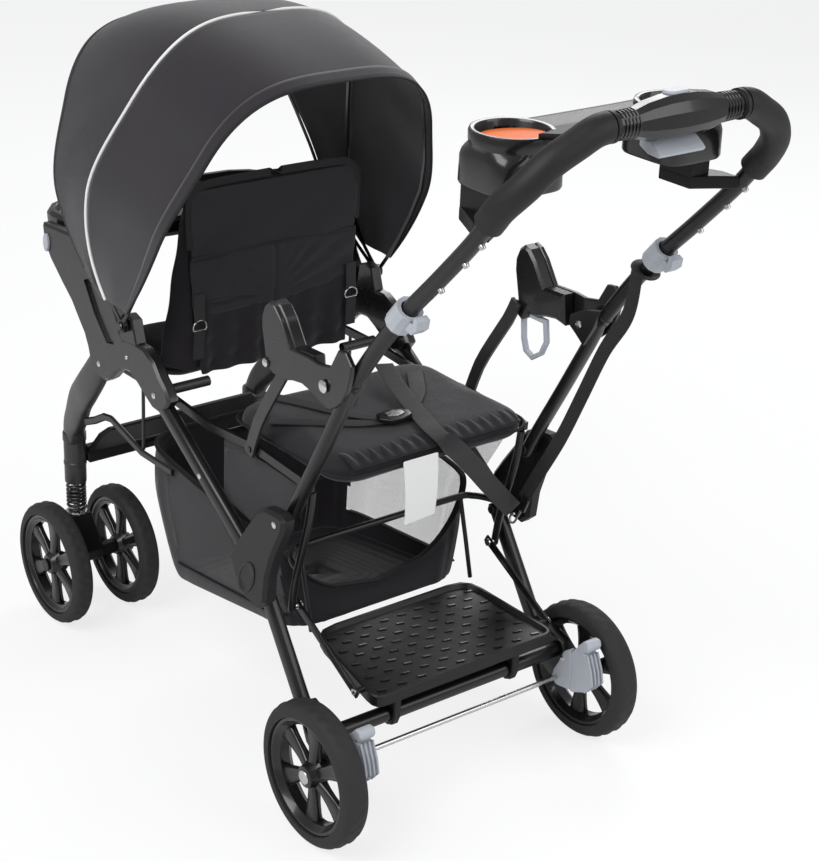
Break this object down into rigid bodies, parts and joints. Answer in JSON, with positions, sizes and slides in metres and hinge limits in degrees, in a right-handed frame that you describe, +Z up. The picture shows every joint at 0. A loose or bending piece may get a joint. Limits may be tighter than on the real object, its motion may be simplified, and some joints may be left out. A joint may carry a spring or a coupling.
{
  "type": "sit and stand stroller",
  "caption": "Folding pushchair with a canopied front seat, a rear seat over a standing platform, a storage basket and a push handle with a parent tray.",
  "frame": {"origin": "on the ground, under the middle of the whole stroller's box", "axes": "+Z up, -Y is the direction of travel, +X is the stroller's left"},
  "size_m": [0.5474, 1.217, 1.117],
  "materials": {
    "frame_paint": "black semi-gloss powder coat",
    "charcoal_paint": "charcoal satin paint",
    "charcoal_plastic": "fine-grained charcoal moulding",
    "black_plastic": "satin moulding",
    "black_gloss": "glossy moulding",
    "grey_plastic": "light grey moulding",
    "tyre": "dark grey tread",
    "foam": "fine closed-cell foam",
    "cloth": "plain woven polyester",
    "chrome": "bright plated",
    "black_spring": "black coated wire"
  },
  "bodies": {
    "chassis": {"front_tube_left": "frame_paint", "front_tube_right": "frame_paint", "hub_housing_left": "charcoal_plastic", "hub_housing_right": "charcoal_plastic", "side_housing_left": "charcoal_plastic", "side_housing_right": "charcoal_plastic", "front_leg_left": "charcoal_paint", "front_leg_right": "charcoal_paint", "seat_frame": "frame_paint", "basket_frame": "frame_paint", "basket": "cloth", "basket_hoop": "frame_paint", "front_seat_pad": "cloth", "rear_seat_pad": "cloth", "footrest": "black_plastic", "suspension_spring_left": "black_spring", "suspension_spring_right": "black_spring", "canopy_fabric": "cloth"},
    "stem_left": {"caster_stem_left": "chrome"},
    "stem_right": {"caster_stem_right": "chrome"},
    "fork_left": {"caster_fork_left": "black_plastic"},
    "fork_right": {"caster_fork_right": "black_plastic"},
    "wheel_left_outer": {"front_wheel_left_outer": "tyre"},
    "wheel_left_inner": {"front_wheel_left_inner": "tyre"},
    "wheel_right_outer": {"front_wheel_right_outer": "tyre"},
    "wheel_right_inner": {"front_wheel_right_inner": "tyre"},
    "rear_frame": {"rear_leg_left": "frame_paint", "rear_leg_right": "frame_paint", "rear_cross_tube": "frame_paint"},
    "rear_roller_left": {"rear_wheel_left": "black_plastic", "rear_tyre_left": "tyre"},
    "rear_roller_right": {"rear_wheel_right": "black_plastic", "rear_tyre_right": "tyre"},
    "brake_bar": {"brake": "grey_plastic"},
    "deck": {"platform": "black_plastic"},
    "deck_bars": {"platform_link_left": "frame_paint", "platform_link_right": "frame_paint"},
    "handle": {"handle_tube_left": "frame_paint", "handle_tube_right": "frame_paint", "grip_left": "foam", "grip_right": "foam", "handle_console": "black_gloss", "parent_tray": "black_plastic", "collar_left": "grey_plastic", "collar_right": "grey_plastic", "tether_strap": "cloth"},
    "button_top": {"console_button": "grey_plastic"},
    "trigger_bottom": {"console_trigger": "grey_plastic"},
    "armrests": {"armrest_left": "black_gloss", "armrest_right": "black_gloss"},
    "loop": {"fold_trigger": "grey_plastic"},
    "links": {"arm_link_left": "charcoal_paint", "arm_link_right": "charcoal_paint"},
    "bow_rear": {"canopy_bow_rear": "black_plastic"},
    "bow_middle": {"canopy_bow_middle": "black_plastic"},
    "bow_front": {"canopy_bow_front": "black_plastic"},
    "seat_back": {"backrest": "cloth"},
    "tray": {"child_tray": "black_plastic"},
    "tray_release_left": {"tray_button_left": "grey_plastic"},
    "tray_release_right": {"tray_button_right": "grey_plastic"}
  },
  "joints": [
    {"name": "handle_fold", "type": "hinge", "parent": "chassis", "child": "handle", "pos_m": [0, 0.1405, 0.445], "axis": [1, 0, 0], "range_deg": [0, 60], "deforming": ["canopy_fabric", "tether_strap"]},
    {"name": "rear_leg_fold", "type": "hinge", "parent": "chassis", "child": "rear_frame", "pos_m": [0, 0.0775, 0.318], "axis": [1, 0, 0], "range_deg": [-41, 0]},
    {"name": "platform_level", "type": "hinge", "parent": "rear_frame", "child": "deck", "pos_m": [0, 0.2425, 0.15], "axis": [1, 0, 0], "range_deg": [0, 41]},
    {"name": "platform_bar_swing", "type": "hinge", "parent": "chassis", "child": "deck_bars", "pos_m": [0, 0.1075, 0.283], "axis": [1, 0, 0], "range_deg": [-67, 0]},
    {"name": "arm_link_swing", "type": "hinge", "parent": "chassis", "child": "links", "pos_m": [0, 0.0175, 0.5], "axis": [1, 0, 0], "range_deg": [0, 87]},
    {"name": "armrest_turn", "type": "hinge", "parent": "handle", "child": "armrests", "pos_m": [0, 0.2395, 0.682], "axis": [1, 0, 0], "range_deg": [-52, 0]},
    {"name": "canopy_rear_fold", "type": "hinge", "parent": "bow_middle", "child": "bow_rear", "pos_m": [0, -0.2725, 0.6], "axis": [1, 0, 0], "range_deg": [0, 24]},
    {"name": "canopy_middle_fold", "type": "hinge", "parent": "bow_front", "child": "bow_middle", "pos_m": [0, -0.2725, 0.6], "axis": [1, 0, 0], "range_deg": [0, 18]},
    {"name": "canopy_tilt", "type": "hinge", "parent": "chassis", "child": "bow_front", "pos_m": [0, -0.2725, 0.6], "axis": [1, 0, 0], "range_deg": [-20, 0], "deforming": ["canopy_fabric"]},
    {"name": "backrest_recline", "type": "hinge", "parent": "chassis", "child": "seat_back", "pos_m": [0, -0.2125, 0.508], "axis": [1, 0, 0], "range_deg": [-30, 0]},
    {"name": "tray_swing", "type": "hinge", "parent": "chassis", "child": "tray", "pos_m": [-0.2115, -0.5325, 0.668], "axis": [0, 0, -1], "range_deg": [0, 80]},
    {"name": "tray_button_left_press", "type": "slide", "parent": "chassis", "child": "tray_release_left", "axis": [-1, 0, 0], "range_m": [0, 0.003], "stiffness_N_per_m": 400, "springref_m": -0.002},
    {"name": "tray_button_right_press", "type": "slide", "parent": "chassis", "child": "tray_release_right", "axis": [1, 0, 0], "range_m": [0, 0.003], "stiffness_N_per_m": 400, "springref_m": -0.002},
    {"name": "console_button_press", "type": "slide", "parent": "handle", "child": "button_top", "axis": [0, 0, -1], "range_m": [0, 0.004], "stiffness_N_per_m": 400, "springref_m": -0.002},
    {"name": "console_trigger_squeeze", "type": "hinge", "parent": "handle", "child": "trigger_bottom", "pos_m": [0, 0.5735, 1.0605], "axis": [1, 0, 0], "range_deg": [0, 10], "stiffness_Nm_per_rad": 0.8, "springref_deg": -5.73},
    {"name": "fold_trigger_pull", "type": "hinge", "parent": "armrests", "child": "loop", "pos_m": [-0.2175, 0.1175, 0.652], "axis": [1, 0, 0], "range_deg": [-12, 0], "stiffness_Nm_per_rad": 0.8, "springref_deg": 5.73},
    {"name": "brake_press", "type": "hinge", "parent": "rear_frame", "child": "brake_bar", "pos_m": [0, 0.2595, 0.112], "axis": [1, 0, 0], "range_deg": [-25, 0]},
    {"name": "rear_spin_left", "type": "hinge", "parent": "rear_frame", "child": "rear_roller_left", "pos_m": [0.2527, 0.2575, 0.108], "axis": [1, 0, 0], "continuous": true},
    {"name": "rear_spin_right", "type": "hinge", "parent": "rear_frame", "child": "rear_roller_right", "pos_m": [-0.2527, 0.2575, 0.108], "axis": [1, 0, 0], "continuous": true},
    {"name": "strut_travel_left", "type": "slide", "parent": "chassis", "child": "stem_left", "axis": [0, 0, 1], "range_m": [0, 0.012], "stiffness_N_per_m": 5000, "springref_m": -0.02, "deforming": ["suspension_spring_left"]},
    {"name": "strut_travel_right", "type": "slide", "parent": "chassis", "child": "stem_right", "axis": [0, 0, 1], "range_m": [0, 0.012], "stiffness_N_per_m": 5000, "springref_m": -0.02, "deforming": ["suspension_spring_right"]},
    {"name": "swivel_left", "type": "hinge", "parent": "stem_left", "child": "fork_left", "pos_m": [0.1785, -0.5425, 0.15], "axis": [0, 0, 1], "continuous": true},
    {"name": "swivel_right", "type": "hinge", "parent": "stem_right", "child": "fork_right", "pos_m": [-0.1785, -0.5425, 0.15], "axis": [0, 0, 1], "continuous": true},
    {"name": "front_spin_left_outer", "type": "hinge", "parent": "fork_left", "child": "wheel_left_outer", "pos_m": [0.2415, -0.5045, 0.104], "axis": [1, 0, 0], "continuous": true},
    {"name": "front_spin_left_inner", "type": "hinge", "parent": "fork_left", "child": "wheel_left_inner", "pos_m": [0.1155, -0.5045, 0.104], "axis": [1, 0, 0], "continuous": true},
    {"name": "front_spin_right_outer", "type": "hinge", "parent": "fork_right", "child": "wheel_right_outer", "pos_m": [-0.2415, -0.5045, 0.104], "axis": [1, 0, 0], "continuous": true},
    {"name": "front_spin_right_inner", "type": "hinge", "parent": "fork_right", "child": "wheel_right_inner", "pos_m": [-0.1155, -0.5045, 0.104], "axis": [1, 0, 0], "continuous": true}
  ],
  "couplings": [
    {"joint": "rear_leg_fold", "follows": "handle_fold", "ratio": -0.68},
    {"joint": "platform_level", "follows": "handle_fold", "ratio": 0.68},
    {"joint": "platform_bar_swing", "follows": "handle_fold", "ratio": -1.107},
    {"joint": "arm_link_swing", "follows": "handle_fold", "ratio": 1.434},
    {"joint": "armrest_turn", "follows": "handle_fold", "ratio": -0.85},
    {"joint": "canopy_rear_fold", "follows": "handle_fold", "ratio": 0.4},
    {"joint": "canopy_middle_fold", "follows": "handle_fold", "ratio": 0.3}
  ]
}
